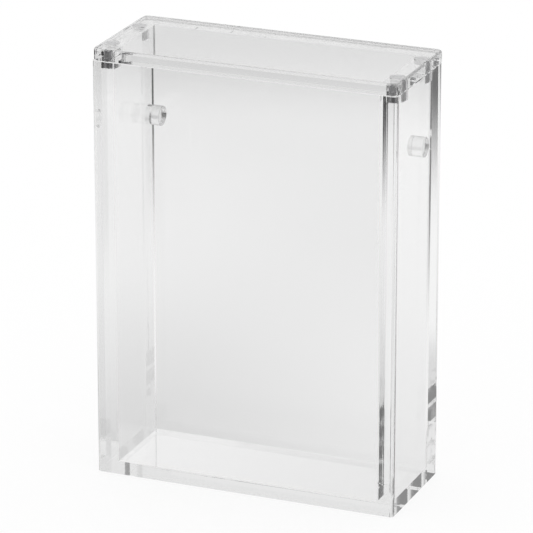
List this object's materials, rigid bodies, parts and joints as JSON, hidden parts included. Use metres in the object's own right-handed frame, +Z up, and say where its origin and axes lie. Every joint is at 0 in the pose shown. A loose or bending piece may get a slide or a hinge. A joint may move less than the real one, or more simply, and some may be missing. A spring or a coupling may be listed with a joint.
{
  "type": "acrylic display case",
  "caption": "Tall clear acrylic box case with thick polished walls, a lift-off magnetic lid plate and small round inner pegs for a flat packaged collectible.",
  "frame": {"origin": "middle of the underside, on the surface that the case stands on", "axes": "+Z up along the case's height, -Y out of the front panel, +X to the viewer's right"},
  "size_m": [0.126, 0.0506, 0.1761],
  "materials": {
    "clear_acrylic": "polished clear acrylic sheet",
    "magnet": "nickel-plated magnet"
  },
  "bodies": {
    "case": {"base_plate": "clear_acrylic", "front_panel": "clear_acrylic", "back_panel": "clear_acrylic", "left_side_panel": "clear_acrylic", "right_side_panel": "clear_acrylic", "left_peg": "clear_acrylic", "right_peg": "clear_acrylic", "wall_magnet_front_left": "magnet", "wall_magnet_back_left": "magnet", "wall_magnet_front_right": "magnet", "wall_magnet_back_right": "magnet"},
    "lid": {"lid_plate": "clear_acrylic", "lid_magnet_front_left": "magnet", "lid_magnet_back_left": "magnet", "lid_magnet_front_right": "magnet", "lid_magnet_back_right": "magnet"}
  },
  "joints": [
    {"name": "lid_lift", "type": "slide", "parent": "case", "child": "lid", "axis": [0, 0, 1], "range_m": [0, 0.06]}
  ]
}
